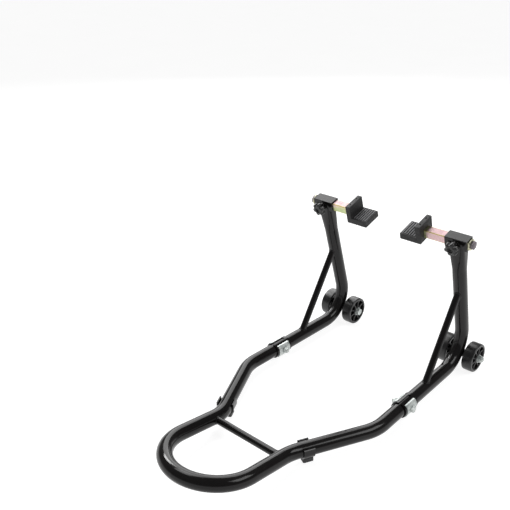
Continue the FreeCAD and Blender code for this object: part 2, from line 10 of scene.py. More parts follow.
import bmesh
import bpy
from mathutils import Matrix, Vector


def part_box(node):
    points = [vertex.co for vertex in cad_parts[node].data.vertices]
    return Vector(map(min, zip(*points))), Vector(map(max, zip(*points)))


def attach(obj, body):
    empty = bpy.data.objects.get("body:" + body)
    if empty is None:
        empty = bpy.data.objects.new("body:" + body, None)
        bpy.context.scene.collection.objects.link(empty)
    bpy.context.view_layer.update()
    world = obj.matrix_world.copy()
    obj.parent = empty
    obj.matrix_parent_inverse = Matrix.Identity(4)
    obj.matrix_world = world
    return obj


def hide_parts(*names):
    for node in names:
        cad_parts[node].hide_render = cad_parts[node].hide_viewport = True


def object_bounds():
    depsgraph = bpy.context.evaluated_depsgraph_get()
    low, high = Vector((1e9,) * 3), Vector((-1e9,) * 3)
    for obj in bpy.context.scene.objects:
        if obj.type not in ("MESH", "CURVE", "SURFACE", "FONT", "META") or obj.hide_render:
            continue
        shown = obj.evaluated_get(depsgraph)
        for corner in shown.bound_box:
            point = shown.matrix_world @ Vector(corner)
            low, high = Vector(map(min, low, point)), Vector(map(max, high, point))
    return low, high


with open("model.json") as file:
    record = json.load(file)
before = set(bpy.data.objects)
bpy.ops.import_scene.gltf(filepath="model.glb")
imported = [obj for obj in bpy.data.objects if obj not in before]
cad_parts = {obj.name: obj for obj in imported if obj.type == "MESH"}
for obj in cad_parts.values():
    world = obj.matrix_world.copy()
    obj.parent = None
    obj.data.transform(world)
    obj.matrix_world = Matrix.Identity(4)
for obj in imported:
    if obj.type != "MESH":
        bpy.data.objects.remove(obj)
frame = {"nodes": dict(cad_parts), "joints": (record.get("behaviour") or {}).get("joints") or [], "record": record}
cad_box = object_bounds()

# The sign of X on each side of the stand
SIDES = {"left": -1.0, "right": 1.0}
X_AXIS = Vector((1, 0, 0))
MM = 0.001
WHITE = (1.0, 1.0, 1.0)


# ---------------------------------------------------------------- camera, light and floor

# The lens is in millimetres and the shift in shares of the picture's width
CAMERA_PLACE = Vector((0.7756, -0.9593, 0.9264))
CAMERA_TARGET = Vector((-0.1366, 0.1060, 0.1277))
CAMERA_LENS = 48.83
CAMERA_SHIFT = (-0.074, 0.118)
LAMP_TARGET = (0.0, 0.0, 0.15)
FLOOR_REACH = 12.0
# The floor lies a hair below the feet, so that no two faces share a plane
FLOOR_GAP = 0.0002


def aim(thing, place, target):
    """Put a camera or a lamp at a place and point its -Z at the target."""
    thing.location = place
    thing.rotation_mode = "QUATERNION"
    thing.rotation_quaternion = (Vector(target) - Vector(place)).to_track_quat("-Z", "Y")


def link(thing):
    """Add an object to the scene."""
    bpy.context.scene.collection.objects.link(thing)
    return thing


def make_camera():
    data = bpy.data.cameras.new("camera")
    data.lens = CAMERA_LENS
    data.shift_x, data.shift_y = CAMERA_SHIFT
    data.clip_start = 0.01
    data.clip_end = 50.0
    camera = link(bpy.data.objects.new("camera", data))
    aim(camera, CAMERA_PLACE, CAMERA_TARGET)
    bpy.context.scene.camera = camera


def make_world():
    """A dim room whose walls brighten towards the horizon; behind the object it is plain white."""
    world = bpy.data.worlds.new("studio")
    world.use_nodes = True
    tree = world.node_tree
    background = tree.nodes["Background"]
    background.inputs["Color"].default_value = (*WHITE, 1.0)
    direction = tree.nodes.new("ShaderNodeTexCoord")
    height = tree.nodes.new("ShaderNodeSeparateXYZ")
    fade = tree.nodes.new("ShaderNodeMapRange")
    fade.interpolation_type = "SMOOTHSTEP"
    for socket, value in (("From Min", 0.03), ("From Max", 0.16), ("To Min", 1.0), ("To Max", 0.2)):
        fade.inputs[socket].default_value = value
    tree.links.new(direction.outputs["Generated"], height.inputs["Vector"])
    tree.links.new(height.outputs["Z"], fade.inputs["Value"])
    seen = tree.nodes.new("ShaderNodeLightPath").outputs["Is Camera Ray"]
    level = tree.nodes.new("ShaderNodeMath")
    level.operation = "MAXIMUM"
    tree.links.new(fade.outputs["Result"], level.inputs[0])
    tree.links.new(seen, level.inputs[1])
    tree.links.new(level.outputs["Value"], background.inputs["Strength"])
    bpy.context.scene.world = world


def softbox(name, place, size, power):
    """A rectangular studio lamp: size is width and height in metres."""
    data = bpy.data.lights.new(name, "AREA")
    data.shape = "RECTANGLE"
    data.size, data.size_y = size
    data.energy = power
    aim(link(bpy.data.objects.new(name, data)), place, LAMP_TARGET)


def make_lights():
    """Four softboxes, and colours shown as they are."""
    softbox("back_softbox", (-1.71, 1.77, 1.87), (2.0, 2.8), 65.0)
    softbox("key_softbox", (-1.89, 0.44, 1.72), (0.75, 0.5), 21.0)
    softbox("top_softbox", (-1.12, 0.04, 2.27), (1.3, 0.75), 15.0)
    softbox("side_softbox", (1.67, 0.67, 1.89), (1.6, 1.0), 21.0)
    settings = bpy.context.scene.view_settings
    settings.view_transform = "Standard"
    settings.look = "None"


# ---------------------------------------------------------------- places read from the frame


def joint_of(name):
    return next(joint for joint in frame["joints"] if joint["name"] == name)


def box_centre(node):
    low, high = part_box(node)
    return (low + high) / 2


class Head:
    """Local axes of one upright's head: x across, y towards the wheels, z up the lean."""

    def __init__(self, side):
        self.sign = SIDES[side]
        self.origin = box_centre(side + "_receiver")
        self.origin.x = 0.0
        self.y = -Vector(joint_of(side + "_knob_turn")["axis"]).normalized()
        self.z = X_AXIS.cross(self.y)

    def __call__(self, x, y, z):
        """World point of millimetres in the right-hand head's axes, mirrored on the left."""
        return self.origin + X_AXIS * (self.sign * x * MM) + self.y * (y * MM) + self.z * (z * MM)


# Both heads share their origin and their lean, so the finishes measure from one of them
HEADS = {side: Head(side) for side in SIDES}
RIGHT_HEAD = HEADS["right"]

# Middle and outer end of the receiver along X, its top above the head's middle, and half the width
# of the square adapter inside it, in millimetres
HEAD_X = box_centre("right_receiver").x / MM
END_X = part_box("right_receiver")[1].x / MM
RECEIVER_TOP = 12.2
ADAPTER_HALF = 9.5

# The rubber rests, in millimetres from the head as in the CAD model
PAD_X0 = 45.0
PAD_X1 = 97.5
PAD_HALF_Y = 25.0
PAD_BOTTOM = -18.0
PAD_TOP = 25.8
PLATE_THICK = 12.4
SHELF_THICK = 14.6
PLATE_FACE = PAD_X1 - PLATE_THICK
SHELF_TOP = PAD_BOTTOM + SHELF_THICK
PAD_CORNER = 1.2
PAD_END_EDGE = 1.1
PAD_RIBS = 6
PAD_RIB_WIDTH = 2.8
PAD_RIB_HEIGHT = 1.2
PAD_RIB_MARGIN = 1.0


# ---------------------------------------------------------------- materials


class Surface:
    """One node material, with short calls for what the finishes share."""

    # Places of the colour sockets on a Mix node, where each data type has sockets of the same name
    MIX_FACTOR = 0
    MIX_FIRST = 6
    MIX_SECOND = 7
    MIX_RESULT = 2
    NOISE_ROUGHNESS = 0.55
    # Cosines between the softened and the true normal, well on an edge and just off it
    ON_EDGE = 0.85
    OFF_EDGE = 0.985

    def __init__(self, name, colour, roughness, metallic=0.0, **sockets):
        self.material = bpy.data.materials.new(name)
        self.material.use_nodes = True
        self.tree = self.material.node_tree
        self.shader = self.tree.nodes["Principled BSDF"]
        self.place = self.tree.nodes.new("ShaderNodeTexCoord").outputs["Object"]
        self.relief = None
        self.shader.inputs["Base Color"].default_value = (*colour, 1.0)
        self.shader.inputs["Metallic"].default_value = metallic
        self.shader.inputs["Roughness"].default_value = roughness
        for socket, value in sockets.items():
            self.shader.inputs[socket.replace("_", " ")].default_value = value

    def feed(self, socket, value):
        """Link a socket to another node's output, or set it to a plain value."""
        if isinstance(value, bpy.types.NodeSocket):
            self.tree.links.new(value, socket)
        else:
            socket.default_value = value

    def add(self, kind, inputs=(), **settings):
        """A node with settings, its inputs given by name as values or as other nodes' outputs."""
        node = self.tree.nodes.new(kind)
        for name, value in settings.items():
            setattr(node, name, value)
        for name, value in dict(inputs).items():
            self.feed(node.inputs[name], value)
        return node

    def stretched(self, stretch):
        """Object coordinates scaled per axis."""
        return self.add("ShaderNodeMapping", {"Vector": self.place, "Scale": stretch}).outputs["Vector"]

    def noise(self, scale, detail=4.0, distortion=0.0, vector=None):
        inputs = {"Vector": vector or self.place, "Scale": scale, "Detail": detail,
                  "Roughness": self.NOISE_ROUGHNESS, "Distortion": distortion}
        return self.add("ShaderNodeTexNoise", inputs).outputs["Fac"]

    def cells(self, scale):
        """Distance to the nearest of many scattered points."""
        inputs = {"Vector": self.place, "Scale": scale}
        return self.add("ShaderNodeTexVoronoi", inputs, feature="F1").outputs["Distance"]

    def ramp(self, value, *stops):
        """A colour ramp through (position, colour or grey) stops."""
        node = self.add("ShaderNodeValToRGB", {"Fac": value})
        elements = node.color_ramp.elements
        while len(elements) < len(stops):
            elements.new(0.5)
        for element, (position, colour) in zip(elements, stops):
            element.position = position
            colour = colour if isinstance(colour, tuple) else (colour,) * 3
            element.color = (*colour, 1.0)
        return node.outputs["Color"]

    def span(self, value, low, high, from_low, from_high):
        """Map the range from_low to from_high onto low to high, and hold the ends outside it."""
        inputs = {"Value": value, "From Min": from_low, "From Max": from_high,
                  "To Min": low, "To Max": high}
        return self.add("ShaderNodeMapRange", inputs).outputs["Result"]

    def math(self, operation, first, second=0.0):
        return self.add("ShaderNodeMath", {0: first, 1: second}, operation=operation).outputs["Value"]

    def blend(self, factor, first, second, mode="MIX"):
        """Mix two colours, each a tuple or another node's output."""
        node = self.add("ShaderNodeMix", data_type="RGBA", blend_type=mode)
        self.feed(node.inputs[self.MIX_FACTOR], factor)
        for index, value in ((self.MIX_FIRST, first), (self.MIX_SECOND, second)):
            self.feed(node.inputs[index], (*value, 1.0) if isinstance(value, tuple) else value)
        return node.outputs[self.MIX_RESULT]

    def dot(self, first, second):
        node = self.add("ShaderNodeVectorMath", {0: first, 1: second}, operation="DOT_PRODUCT")
        return node.outputs["Value"]

    def along(self, direction, origin):
        """Distance of a point from an origin along a direction, in metres."""
        return self.math("SUBTRACT", self.dot(self.place, tuple(direction)), origin.dot(direction))

    def rise(self):
        """Height of a point over the middle of the heads, up their lean."""
        return self.along(RIGHT_HEAD.z, RIGHT_HEAD.origin)

    def depth(self):
        """Distance of a point from the middle of the heads, towards the wheels."""
        return self.along(RIGHT_HEAD.y, RIGHT_HEAD.origin)

    def axis(self, name):
        return self.add("ShaderNodeSeparateXYZ", {"Vector": self.place}).outputs[name]

    def offside(self):
        """Distance of a point from the stand's middle plane."""
        return self.math("ABSOLUTE", self.axis("X"))

    def edges(self, low, high):
        """How far a point lies on a convex edge, from 0 to 1."""
        point = self.add("ShaderNodeNewGeometry").outputs["Pointiness"]
        return self.span(point, 0.0, 1.0, low, high)

    def bevelled(self, width):
        """How near a point lies to an edge of its mesh, from 0 to 1, whatever its faces' size."""
        soft = self.add("ShaderNodeBevel", {"Radius": width}, samples=4).outputs["Normal"]
        true = self.add("ShaderNodeNewGeometry").outputs["True Normal"]
        return self.span(self.dot(soft, true), 1.0, 0.0, self.ON_EDGE, self.OFF_EDGE)

    def bump(self, height, distance, strength):
        """Add a layer of relief, its distance in metres."""
        inputs = {"Height": height, "Distance": distance, "Strength": strength}
        if self.relief is not None:
            inputs["Normal"] = self.relief
        self.relief = self.add("ShaderNodeBump", inputs).outputs["Normal"]

    def use(self, colour, roughness=None):
        """Connect the worked-out colour, roughness and relief to the shader."""
        inputs = self.shader.inputs
        for name, value in (("Base Color", colour), ("Roughness", roughness), ("Normal", self.relief)):
            if value is not None:
                self.tree.links.new(value, inputs[name])
        return self.material


def powder_coat():
    """Gloss black powder coat: orange peel, clouds, smears, rubbed edges, duller receiver tops with a painted
    sheen.
    """
    s = Surface("black_powder_coat", (0.006, 0.0055, 0.0055), roughness=0.16, IOR=1.34)
    edge_width = 0.0012
    cloud = s.noise(9.0, detail=5.0)
    colour = s.ramp(cloud, (0.3, (0.0036, 0.003, 0.003)), (0.7, (0.0075, 0.0068, 0.0068)))
    patches = s.span(s.noise(160.0), 0.0, 0.5, 0.45, 0.7)
    rubbed = s.math("MULTIPLY", s.bevelled(edge_width), patches)
    colour = s.blend(rubbed, colour, (0.06, 0.06, 0.062))
    smears = s.noise(30.0, detail=6.0, distortion=1.5)
    roughness = s.span(cloud, 0.08, 0.13, 0.3, 0.7)
    roughness = s.math("ADD", roughness, s.span(smears, 0.0, 0.1, 0.5, 0.75))
    # The receiver tops are rougher, and their colour is lifted to grey: a painted sheen.
    painted_sheen_top = s.span(s.rise(), 0.0, 1.0, (RECEIVER_TOP - 1.0) * MM, RECEIVER_TOP * MM)
    roughness = s.math("ADD", roughness, s.math("MULTIPLY", painted_sheen_top, 0.16))
    colour = s.blend(painted_sheen_top, colour, (0.024, 0.024, 0.024))
    s.bump(s.noise(330.0, detail=2.0), 0.00008, 0.18)
    s.bump(s.noise(38.0, detail=2.0), 0.0005, 0.1)
    return s.use(colour, roughness)


def bright_zinc():
    """Bright zinc plate: soft spangle, faint green tints and dull patches, darker on the heads."""
    s = Surface("bright_zinc", (0.45, 0.47, 0.46), metallic=0.85, roughness=0.55)
    heads_from = 0.29
    tint = s.noise(110.0, detail=5.0, distortion=0.6)
    colour = s.ramp(tint, (0.3, (0.36, 0.4, 0.39)), (0.5, (0.55, 0.58, 0.57)),
                    (0.7, (0.66, 0.69, 0.66)))
    spots = s.ramp(s.cells(420.0), (0.0, 1.0), (0.22, 0.0))
    colour = s.blend(s.math("MULTIPLY", spots, 0.4), colour, (0.2, 0.22, 0.22))
    upper = s.span(s.axis("Z"), 0.0, 1.0, heads_from, heads_from + 0.01)
    colour = s.blend(upper, colour, (0.3, 0.25, 0.28), mode="MULTIPLY")
    roughness = s.span(s.noise(240.0, detail=6.0), 0.42, 0.62, 0.3, 0.7)
    drawn = s.noise(1.0, detail=3.0, vector=s.stretched((3500.0, 500.0, 500.0)))
    s.bump(drawn, 0.00006, 0.5)
    s.bump(s.noise(300.0, detail=4.0), 0.00015, 0.4)
    return s.use(colour, roughness)


def yellow_zinc():
    """Iridescent yellow zinc plate: pink flats that turn gold and green by the rests and at edges."""
    s = Surface("yellow_zinc", (0.86, 0.62, 0.6), metallic=1.0, roughness=0.45)
    flat = ADAPTER_HALF * MM
    rest_end = (PAD_X1 + 2.5) * MM
    rise = s.rise()
    depth = s.depth()
    film = s.span(s.noise(30.0, detail=3.0, distortion=1.0), 0.0, 0.4, 0.35, 0.75)
    film = s.math("ADD", film, s.span(s.offside(), 0.6, 0.0, rest_end, rest_end + 0.009))
    front = s.span(depth, 1.0, 0.0, -flat + 0.0001, -flat + 0.0007)
    low_front = s.math("MULTIPLY", front, s.span(rise, 0.7, 0.3, -0.008, 0.006))
    left_half = s.span(s.axis("X"), 1.0, 0.0, -0.01, 0.01)
    film = s.math("ADD", film, s.math("MULTIPLY", low_front, left_half))
    colour = s.ramp(film, (0.1, (0.86, 0.6, 0.62)), (0.35, (0.88, 0.66, 0.64)),
                    (0.5, (0.86, 0.74, 0.54)), (0.64, (0.74, 0.76, 0.42)), (0.85, (0.62, 0.7, 0.38)))
    corner = s.math("MINIMUM", s.math("ABSOLUTE", rise), s.math("ABSOLUTE", depth))
    colour = s.blend(s.span(corner, 0.0, 0.9, flat - 0.0021, flat - 0.0012), colour, (0.72, 0.6, 0.2))
    end = s.span(s.offside(), 0.0, 1.0, (END_X - 2.0) * MM, END_X * MM)
    colour = s.blend(end, colour, (0.85, 0.84, 0.62))
    stain = s.ramp(s.noise(260.0, detail=5.0), (0.35, 0.68), (0.6, 0.78))
    colour = s.blend(1.0, colour, stain, mode="MULTIPLY")
    # The adapter's top face is darkened to a deeper grey: painted shade.
    top = s.span(rise, 0.0, 1.0, flat - 0.0007, flat - 0.0001)
    colour = s.blend(top, colour, (0.58, 0.58, 0.58), mode="MULTIPLY")
    roughness = s.span(s.noise(90.0, detail=6.0), 0.36, 0.52, 0.3, 0.7)
    drawn = s.noise(1.0, detail=3.0, vector=s.stretched((60.0, 1800.0, 1800.0)))
    s.bump(drawn, 0.00005, 0.5)
    s.bump(s.noise(200.0, detail=4.0), 0.0001, 0.3)
    return s.use(colour, roughness)


def wheel_plastic():
    """Moulded black wheel: satin skin, fine lines round the tread, gritty dust and a painted highlight on its
    edges.
    """
    s = Surface("wheel_plastic", (0.012, 0.012, 0.012), roughness=0.4)
    cloud = s.noise(55.0, detail=6.0)
    colour = s.ramp(cloud, (0.3, (0.003, 0.003, 0.0031)), (0.7, (0.008, 0.008, 0.0083)))
    grit = s.ramp(s.noise(900.0, detail=3.0), (0.58, 0.0), (0.75, 0.35))
    dust = s.math("MULTIPLY", grit, s.span(cloud, 0.0, 0.4, 0.4, 0.7))
    colour = s.blend(dust, colour, (0.05, 0.049, 0.048))
    # Lighter grey on the convex edges, round the rim: a painted highlight.
    colour = s.blend(s.edges(0.52, 0.58), colour, (0.05, 0.05, 0.052))
    roughness = s.span(s.noise(180.0, detail=5.0), 0.26, 0.4, 0.3, 0.7)
    scuffs = s.noise(1.0, detail=2.0, vector=s.stretched((2200.0, 90.0, 90.0)))
    s.bump(scuffs, 0.00006, 0.4)
    s.bump(s.noise(1400.0, detail=2.0), 0.00006, 0.3)
    return s.use(colour, roughness)


def knob_plastic():
    """Fine-textured black plastic, glossy from handling, with a painted highlight on its edges."""
    s = Surface("knob_plastic", (0.012, 0.012, 0.013), roughness=0.4)
    cloud = s.noise(130.0, detail=4.0)
    colour = s.ramp(cloud, (0.3, (0.002, 0.002, 0.0021)), (0.7, (0.006, 0.006, 0.0063)))
    # Lighter grey on the convex edges: a painted highlight.
    colour = s.blend(s.edges(0.53, 0.6), colour, (0.05, 0.05, 0.052))
    roughness = s.span(s.noise(260.0, detail=3.0), 0.22, 0.38, 0.3, 0.7)
    s.bump(s.cells(1700.0), 0.00012, 0.5)
    return s.use(colour, roughness)


def brighter(colour, gain):
    return tuple(gain * value for value in colour)


def rib_wear_sheen_and_shade(s, colour, light):
    """The rests' shelf: rib tops lightened for wear and a painted sheen, and painted shade in the grooves between
    them.
    """
    rise = s.rise()
    shelf = SHELF_TOP * MM
    shelf_end = (PLATE_FACE - 1.0) * MM
    shelf_start = (PAD_X0 + 2.5) * MM
    # Rib tops: a lighter grey for wear and a painted sheen.
    above = s.span(rise, 0.0, 1.0, shelf + 0.0003, shelf + 0.0010)
    below = s.span(rise, 1.0, 0.0, shelf + 0.0013, shelf + 0.0020)
    off_plate = s.span(s.offside(), 1.0, 0.0, shelf_end, shelf_end + 0.0005)
    worn_and_sheen = s.math("MULTIPLY", s.math("MULTIPLY", above, below), off_plate)
    colour = s.blend(worn_and_sheen, colour, brighter(light, 8.0))
    # Grooves between the ribs: near-black painted shade.
    above = s.span(rise, 0.0, 0.8, shelf - 0.0004, shelf - 0.0001)
    below = s.span(rise, 1.0, 0.0, shelf + 0.0002, shelf + 0.0007)
    off_end = s.span(s.offside(), 0.0, 1.0, shelf_start, shelf_start + 0.0005)
    valley_shade = s.math("MULTIPLY", s.math("MULTIPLY", above, below), off_end)
    return s.blend(valley_shade, colour, (0.002, 0.002, 0.002))


def rubber(name, dark, light, grain, ribbed):
    """Matte black rubber: pitted grain, chalky bloom, painted shade on the faces that do not face up, and a
    painted highlight on its edges.
    """
    s = Surface(name, dark, roughness=0.7)
    cloud = s.noise(70.0, detail=6.0)
    colour = s.ramp(cloud, (0.3, dark), (0.7, light))
    bloom = s.ramp(s.noise(grain * 0.8, detail=4.0), (0.5, 0.0), (0.75, 0.4))
    colour = s.blend(bloom, colour, brighter(light, 2.2))
    normal = s.add("ShaderNodeTexCoord").outputs["Normal"]
    # Faces that turn away from up are darkened: painted shade.
    painted_side_shade = s.span(s.dot(normal, tuple(RIGHT_HEAD.z)), 1.0, 0.0, 0.4, 0.95)
    colour = s.blend(painted_side_shade, colour, (0.42, 0.42, 0.42), mode="MULTIPLY")
    if ribbed:
        colour = rib_wear_sheen_and_shade(s, colour, light)
    # Lighter convex edges: a painted highlight.
    colour = s.blend(s.edges(0.53, 0.62), colour, brighter(light, 2.6))
    roughness = s.span(s.noise(320.0, detail=4.0), 0.5, 0.8, 0.3, 0.7)
    s.bump(s.noise(grain, detail=4.0), 0.0003, 0.5)
    s.bump(s.cells(grain * 0.9), 0.0001, 0.3)
    return s.use(colour, roughness)


def floor_paper():
    """White matt paper lit from behind, so that it shows hardly any shadow."""
    s = Surface("studio_paper", (0.3, 0.3, 0.3), roughness=0.9, Emission_Strength=0.88)
    s.shader.inputs["Emission Color"].default_value = (*WHITE, 1.0)
    colour = s.ramp(s.noise(3.0, detail=3.0), (0.3, 0.28), (0.7, 0.32))
    s.bump(s.noise(900.0, detail=2.0), 0.0001, 0.1)
    return s.use(colour)


MATERIALS = {
    "black_paint": powder_coat(),
    "bright_zinc": bright_zinc(),
    "yellow_zinc": yellow_zinc(),
    "wheel_plastic": wheel_plastic(),
    "knob_plastic": knob_plastic(),
    "pad_rubber": rubber("pad_rubber", (0.010, 0.010, 0.0105), (0.02, 0.02, 0.021), 900.0, True),
    "foot_rubber": rubber("foot_rubber", (0.004, 0.004, 0.004), (0.009, 0.009, 0.009), 700.0, False),
}


def paint_nodes():
    """Give every node of the frame the finish that its record slot names."""
    for row in frame["record"]["subparts"]:
        node = frame["nodes"][row["node"]]
        node.data.materials.clear()
        node.data.materials.append(MATERIALS[row["material_slot"]])


# ---------------------------------------------------------------- mesh helpers

SHARP_DEGREES = 38.0
CORNER_STEPS = 4
# A rounded corner takes at most this share of each side
CORNER_SHARE = 0.45


def piece(name, mesh, slot, body, replaces=()):
    """Make an object of a finished mesh that rides on a body in a slot's finish."""
    mesh.materials.append(MATERIALS[slot])
    made = link(bpy.data.objects.new(name, mesh))
    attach(made, body)
    if replaces:
        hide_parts(*replaces)


def soften(mesh, sharp_degrees=SHARP_DEGREES):
    """Shade smooth, but keep edges sharper than the given angle crisp."""
    mesh.shade_smooth()
    mesh.set_sharp_from_angle(angle=math.radians(sharp_degrees))


def lofts_to_mesh(name, lofts, sharp_degrees=SHARP_DEGREES):
    """One mesh of several closed skins, each a (rings, cyclic) pair with rings of equal length."""
    points = []
    faces = []
    for rings, cyclic in lofts:
        base = len(points)
        count = len(rings[0])
        for ring in rings:
            points.extend(ring)
        for i in range(len(rings) if cyclic else len(rings) - 1):
            near = base + i * count
            far = base + (i + 1) % len(rings) * count
            for j in range(count):
                k = (j + 1) % count
                faces.append((near + j, near + k, far + k, far + j))
        if not cyclic:
            last = base + (len(rings) - 1) * count
            faces.append(tuple(base + j for j in range(count - 1, -1, -1)))
            faces.append(tuple(last + j for j in range(count)))
    mesh = bpy.data.meshes.new(name)
    mesh.from_pydata(points, [], faces)
    work = bmesh.new()
    work.from_mesh(mesh)
    bmesh.ops.recalc_face_normals(work, faces=work.faces)
    work.to_mesh(mesh)
    work.free()
    soften(mesh, sharp_degrees)
    return mesh


def turns(count):
    """Angles at even steps round a circle."""
    return [2 * math.pi * i / count for i in range(count)]


def circle(centre, along, radius, count):
    """Points of a ring around a centre, from +Y on where its axis lies along X.

    The radius is a number or a function of the angle.
    """
    across = along.orthogonal().normalized() if abs(along.x) < 0.9 else Vector((0, 1, 0))
    across = (across - along * across.dot(along)).normalized()
    third = along.cross(across)
    ring = []
    for angle in turns(count):
        r = radius(angle) if callable(radius) else radius
        ring.append(centre + across * (r * math.cos(angle)) + third * (r * math.sin(angle)))
    return ring


def lathe(centre, along, profile, count):
    """Rings for a profile of (place along the axis, radius) points."""
    return [circle(centre + along * place, along, radius, count) for place, radius in profile]


def rounded(profile, radius):
    """Round off each inner corner of an open profile of 2-D points."""
    made = [profile[0]]
    for before, corner, after in zip(profile, profile[1:], profile[2:]):
        b, c, a = Vector(before), Vector(corner), Vector(after)
        reach = min(radius, (b - c).length * CORNER_SHARE, (a - c).length * CORNER_SHARE)
        first = c + (b - c).normalized() * reach
        last = c + (a - c).normalized() * reach
        for i in range(CORNER_STEPS + 1):
            t = i / CORNER_STEPS
            point = first * (1 - t) ** 2 + c * (2 * t * (1 - t)) + last * t ** 2
            made.append((point.x, point.y))
    made.append(profile[-1])
    return made


def joined(first, second, operation="UNION"):
    """The union or difference of two meshes."""
    a = link(bpy.data.objects.new("boolean_a", first))
    b = link(bpy.data.objects.new("boolean_b", second))
    step = a.modifiers.new("boolean", "BOOLEAN")
    step.operation = operation
    step.solver = "EXACT"
    step.object = b
    step.use_self = True
    graph = bpy.context.evaluated_depsgraph_get()
    made = bpy.data.meshes.new_from_object(a.evaluated_get(graph))
    bpy.data.objects.remove(a)
    bpy.data.objects.remove(b)
    made.materials.clear()
    return made


# ---------------------------------------------------------------- welds

# An edge is sharp if its faces turn by more than this, and points this close are one point
LEAST_TURN = math.radians(30)
SAME_POINT = 2e-5
WELD_SEED = 7
BEAD_SIDES = 10
BEAD_STEP = 0.0007
BEAD_RIPPLE = 0.0022
BEAD_SHARP_DEGREES = 80.0
# Thickness of a bead in shares of its radius: its mean, its ripple and its unevenness, then the
# thickness at an open end and its gain with each ring from there
BEAD_MEAN = 0.96
BEAD_WAVE = 0.1
BEAD_UNEVEN = 0.06
BEAD_END = 0.35
BEAD_GAIN = 0.3
# Radii of the beads round thin tubes and axle sleeves, round joint sleeves, and at the receivers
TUBE_BEAD = 0.0016
SLEEVE_BEAD = 0.0017
BOSS_BEAD = 0.0012
LIP_BEAD = 0.0013
# Shortest outer lines of the thin tubes and of the axle sleeves, and the least width across the stand
# of the saddle line where a sleeve meets its elbow
THIN_TUBE_LINE = 0.045
SLEEVE_LINE = 0.05
SADDLE_WIDTH = 0.003
# Length of the line round the 32 mm frame tube, and how far a found line may be from it
TUBE_GIRTH = math.pi * 0.032
GIRTH_PLAY = 0.0025
# The boss and the crushed tube end below each receiver, in millimetres from the head
BOSS_RADIUS = 9.4
BOSS_FACE = 13.3
BOSS_COUNT = 40
LIP_HALF_X = 17.5
LIP_SIDE_X = 17.9
LIP_SIDE_Z = -13.2
LIP_HALF_Y = 10.5
LIP_FACE_Y = 13.6
LIP_FACE_Z = 3.6
LIP_BOSS_GAP = 10.6


def sharp_loops(node):
    """Closed lines of sharp edges on a node, as lists of points."""
    mesh = bmesh.new()
    mesh.from_mesh(frame["nodes"][node].data)
    bmesh.ops.remove_doubles(mesh, verts=mesh.verts, dist=SAME_POINT)
    free = {e for e in mesh.edges if len(e.link_faces) == 2 and e.calc_face_angle(0.0) > LEAST_TURN}
    loops = []
    while free:
        edge = min(free, key=lambda e: e.index)
        free.discard(edge)
        start, here = edge.verts
        line = [start.co.copy(), here.co.copy()]
        while here != start:
            onward = [e for e in here.link_edges if e in free]
            if not onward:
                break
            free.discard(onward[0])
            here = onward[0].other_vert(here)
            line.append(here.co.copy())
        if here == start:
            loops.append(line[:-1])
    mesh.free()
    return loops


def loop_length(line):
    return sum((a - b).length for a, b in zip(line, line[1:] + line[:1]))


def width_across(line):
    """Extent of a line along X."""
    return max(point.x for point in line) - min(point.x for point in line)


def mean_depth(line):
    """Mean place of a line along Y."""
    return sum(point.y for point in line) / len(line)


def resampled(line, step, closed):
    """Points at even steps along a line."""
    points = line + line[:1] if closed else list(line)
    lengths = [(b - a).length for a, b in zip(points, points[1:])]
    total = sum(lengths)
    count = max(4, round(total / step))
    made = []
    for i in range(count if closed else count + 1):
        left = total * i / count
        for a, b, length in zip(points, points[1:], lengths):
            if left <= length or b is points[-1]:
                made.append(a.lerp(b, min(1.0, left / max(length, 1e-9))))
                break
            left -= length
    return made


def bead_rings(line, radius, closed, dice):
    """Rings of a weld bead: a tube whose thickness swells once for each ripple."""
    points = resampled(line, BEAD_STEP, closed)
    count = len(points)
    phase = dice.uniform(0, 6)
    rings = []
    for i, point in enumerate(points):
        before = points[i - 1] if closed or i else point
        after = points[(i + 1) % count] if closed or i + 1 < count else point
        along = (after - before).normalized()
        wave = math.sin(2 * math.pi * i * BEAD_STEP / BEAD_RIPPLE + phase)
        swell = radius * (BEAD_MEAN + BEAD_WAVE * wave + BEAD_UNEVEN * dice.uniform(-1, 1))
        if not closed:
            swell *= min(1.0, BEAD_END + BEAD_GAIN * min(i, count - 1 - i))
        up = Vector((0, 0, 1)) if abs(along.z) < 0.85 else Vector((0, 1, 0))
        third = along.cross(up).normalized()
        fourth = along.cross(third)
        rings.append([point + third * (swell * math.cos(a)) + fourth * (swell * math.sin(a))
                      for a in turns(BEAD_SIDES)])
    return rings


def weld(name, lines, radius, closed, dice):
    """One piece of weld bead along some lines; no lines give no piece."""
    if lines:
        lofts = [(bead_rings(line, radius, closed, dice), closed) for line in lines]
        piece(name, lofts_to_mesh(name, lofts, BEAD_SHARP_DEGREES), "black_paint", "frame")


def tube_end_loops(node, shortest):
    """The sharp lines round a tube's ends, leaving out the shorter ones round its bore."""
    return [line for line in sharp_loops(node) if loop_length(line) > shortest]


def receiver_lips(head):
    """Lines where the crushed tube end laps over the receiver; the front one makes way for the boss."""
    front = [(-LIP_HALF_X, -LIP_BOSS_GAP), (LIP_BOSS_GAP, LIP_HALF_X)]
    back = [(-LIP_HALF_X, LIP_HALF_X)]
    lips = []
    for y, spans in ((-LIP_FACE_Y, front), (LIP_FACE_Y, back)):
        for near, far in spans:
            lips.append([head(HEAD_X + near, y, LIP_FACE_Z), head(HEAD_X + far, y, LIP_FACE_Z)])
    for x in (-LIP_SIDE_X, LIP_SIDE_X):
        lips.append([head(HEAD_X + x, y, LIP_SIDE_Z) for y in (-LIP_HALF_Y, LIP_HALF_Y)])
    return lips


